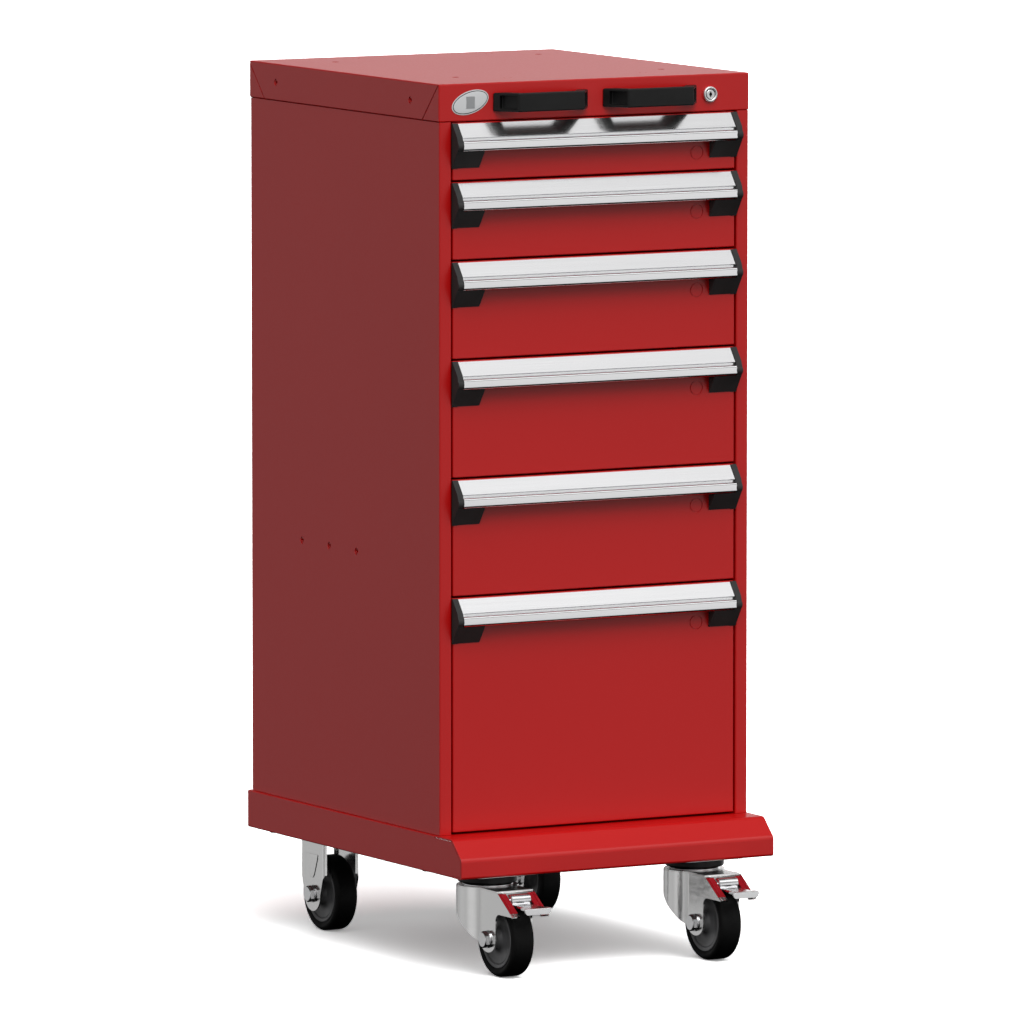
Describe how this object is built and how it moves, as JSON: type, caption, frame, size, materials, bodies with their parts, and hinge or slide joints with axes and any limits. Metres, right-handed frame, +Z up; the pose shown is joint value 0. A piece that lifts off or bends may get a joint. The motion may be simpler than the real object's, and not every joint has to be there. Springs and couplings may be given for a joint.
{
  "type": "rolling tool chest",
  "caption": "Tall narrow steel drawer cabinet on a mobile base: full-width aluminium drawer handles, two pull handles, key lock, swivel brake casters in front, fixed casters behind.",
  "frame": {"origin": "on the floor under the middle of the overall box", "axes": "+Z up, +X to the chest's right seen from its front, front faces -Y"},
  "size_m": [0.4624, 0.646, 1.1459],
  "materials": {
    "red_paint": "smooth satin powder coat, red",
    "aluminium": "brushed along its length, clear anodised",
    "black_plastic": "fine moulded texture, black",
    "zinc_steel": "zinc plated",
    "chrome": "bright plated pressed steel",
    "wheel_rubber": "matte black tread on a dark grey rim"
  },
  "bodies": {
    "chest": {"top_cover": "red_paint", "back_panel": "red_paint", "bottom_panel": "red_paint", "left_side_panel": "red_paint", "right_side_panel": "red_paint", "left_guide_frame": "zinc_steel", "right_guide_frame": "zinc_steel", "mobile_base_tray": "red_paint", "base_front_bumper": "red_paint", "left_pull_handle": "black_plastic", "right_pull_handle": "black_plastic", "lock_barrel": "chrome", "front_left_caster_head": "black_plastic", "front_right_caster_head": "black_plastic", "rear_left_caster_fork": "chrome", "rear_left_axle": "zinc_steel", "rear_right_caster_fork": "chrome", "rear_right_axle": "zinc_steel"},
    "lock_plug": {"lock_plug": "chrome"},
    "lock_bar": {"lock_bar": "zinc_steel"},
    "drawer_1": {"drawer_1_body": "red_paint", "drawer_1_handle": "aluminium", "drawer_1_left_end_cap": "black_plastic", "drawer_1_right_end_cap": "black_plastic"},
    "carriage_1": {"drawer_1_slide_carriage": "zinc_steel"},
    "drawer_2": {"drawer_2_body": "red_paint", "drawer_2_handle": "aluminium", "drawer_2_left_end_cap": "black_plastic", "drawer_2_right_end_cap": "black_plastic"},
    "carriage_2": {"drawer_2_slide_carriage": "zinc_steel"},
    "drawer_3": {"drawer_3_body": "red_paint", "drawer_3_handle": "aluminium", "drawer_3_left_end_cap": "black_plastic", "drawer_3_right_end_cap": "black_plastic"},
    "carriage_3": {"drawer_3_slide_carriage": "zinc_steel"},
    "drawer_4": {"drawer_4_body": "red_paint", "drawer_4_handle": "aluminium", "drawer_4_left_end_cap": "black_plastic", "drawer_4_right_end_cap": "black_plastic"},
    "carriage_4": {"drawer_4_slide_carriage": "zinc_steel"},
    "drawer_5": {"drawer_5_body": "red_paint", "drawer_5_handle": "aluminium", "drawer_5_left_end_cap": "black_plastic", "drawer_5_right_end_cap": "black_plastic"},
    "carriage_5": {"drawer_5_slide_carriage": "zinc_steel"},
    "drawer_6": {"drawer_6_body": "red_paint", "drawer_6_handle": "aluminium", "drawer_6_left_end_cap": "black_plastic", "drawer_6_right_end_cap": "black_plastic"},
    "carriage_6": {"drawer_6_slide_carriage": "zinc_steel"},
    "front_left_swivel": {"front_left_caster_fork": "chrome", "front_left_axle": "zinc_steel"},
    "front_left_wheel": {"front_left_wheel": "wheel_rubber"},
    "front_left_pedal": {"front_left_brake_pedal": "chrome"},
    "rear_left_wheel": {"rear_left_wheel": "wheel_rubber"},
    "front_right_swivel": {"front_right_caster_fork": "chrome", "front_right_axle": "zinc_steel"},
    "front_right_wheel": {"front_right_wheel": "wheel_rubber"},
    "front_right_pedal": {"front_right_brake_pedal": "chrome"},
    "rear_right_wheel": {"rear_right_wheel": "wheel_rubber"}
  },
  "joints": [
    {"name": "lock_turn", "type": "hinge", "parent": "chest", "child": "lock_plug", "pos_m": [0.1697, -0.19725, 1.1198], "axis": [0, 1, 0], "range_deg": [0, 90.1]},
    {"name": "lock_bar_slide", "type": "slide", "parent": "chest", "child": "lock_bar", "axis": [0, 0, -1], "range_m": [0, 0.014]},
    {"name": "drawer_1_slide", "type": "slide", "parent": "chest", "child": "drawer_1", "axis": [0, -1, 0], "range_m": [0, 0.43]},
    {"name": "carriage_1_slide", "type": "slide", "parent": "chest", "child": "carriage_1", "axis": [0, -1, 0], "range_m": [0, 0.215]},
    {"name": "drawer_2_slide", "type": "slide", "parent": "chest", "child": "drawer_2", "axis": [0, -1, 0], "range_m": [0, 0.43]},
    {"name": "carriage_2_slide", "type": "slide", "parent": "chest", "child": "carriage_2", "axis": [0, -1, 0], "range_m": [0, 0.215]},
    {"name": "drawer_3_slide", "type": "slide", "parent": "chest", "child": "drawer_3", "axis": [0, -1, 0], "range_m": [0, 0.43]},
    {"name": "carriage_3_slide", "type": "slide", "parent": "chest", "child": "carriage_3", "axis": [0, -1, 0], "range_m": [0, 0.215]},
    {"name": "drawer_4_slide", "type": "slide", "parent": "chest", "child": "drawer_4", "axis": [0, -1, 0], "range_m": [0, 0.43]},
    {"name": "carriage_4_slide", "type": "slide", "parent": "chest", "child": "carriage_4", "axis": [0, -1, 0], "range_m": [0, 0.215]},
    {"name": "drawer_5_slide", "type": "slide", "parent": "chest", "child": "drawer_5", "axis": [0, -1, 0], "range_m": [0, 0.43]},
    {"name": "carriage_5_slide", "type": "slide", "parent": "chest", "child": "carriage_5", "axis": [0, -1, 0], "range_m": [0, 0.215]},
    {"name": "drawer_6_slide", "type": "slide", "parent": "chest", "child": "drawer_6", "axis": [0, -1, 0], "range_m": [0, 0.43]},
    {"name": "carriage_6_slide", "type": "slide", "parent": "chest", "child": "carriage_6", "axis": [0, -1, 0], "range_m": [0, 0.215]},
    {"name": "front_left_swivel_turn", "type": "hinge", "parent": "chest", "child": "front_left_swivel", "pos_m": [-0.1536, -0.18935, 0.115], "axis": [0, 0, 1], "continuous": true},
    {"name": "front_left_wheel_roll", "type": "hinge", "parent": "front_left_swivel", "child": "front_left_wheel", "pos_m": [-0.1536, -0.23755, 0.05], "axis": [1, 0, 0], "continuous": true},
    {"name": "front_left_pedal_press", "type": "hinge", "parent": "front_left_swivel", "child": "front_left_pedal", "pos_m": [-0.1536, -0.27135, 0.103], "axis": [1, 0, 0], "range_deg": [0, 15]},
    {"name": "rear_left_wheel_roll", "type": "hinge", "parent": "chest", "child": "rear_left_wheel", "pos_m": [-0.1536, 0.23725, 0.05], "axis": [1, 0, 0], "continuous": true},
    {"name": "front_right_swivel_turn", "type": "hinge", "parent": "chest", "child": "front_right_swivel", "pos_m": [0.1536, -0.18935, 0.115], "axis": [0, 0, 1], "continuous": true},
    {"name": "front_right_wheel_roll", "type": "hinge", "parent": "front_right_swivel", "child": "front_right_wheel", "pos_m": [0.1536, -0.23755, 0.05], "axis": [1, 0, 0], "continuous": true},
    {"name": "front_right_pedal_press", "type": "hinge", "parent": "front_right_swivel", "child": "front_right_pedal", "pos_m": [0.1536, -0.27135, 0.103], "axis": [1, 0, 0], "range_deg": [0, 15]},
    {"name": "rear_right_wheel_roll", "type": "hinge", "parent": "chest", "child": "rear_right_wheel", "pos_m": [0.1536, 0.23725, 0.05], "axis": [1, 0, 0], "continuous": true}
  ],
  "couplings": [
    {"joint": "lock_turn", "follows": "lock_bar_slide", "rad_per_m": 112.2},
    {"joint": "carriage_1_slide", "follows": "drawer_1_slide", "ratio": 0.5},
    {"joint": "carriage_2_slide", "follows": "drawer_2_slide", "ratio": 0.5},
    {"joint": "carriage_3_slide", "follows": "drawer_3_slide", "ratio": 0.5},
    {"joint": "carriage_4_slide", "follows": "drawer_4_slide", "ratio": 0.5},
    {"joint": "carriage_5_slide", "follows": "drawer_5_slide", "ratio": 0.5},
    {"joint": "carriage_6_slide", "follows": "drawer_6_slide", "ratio": 0.5}
  ]
}
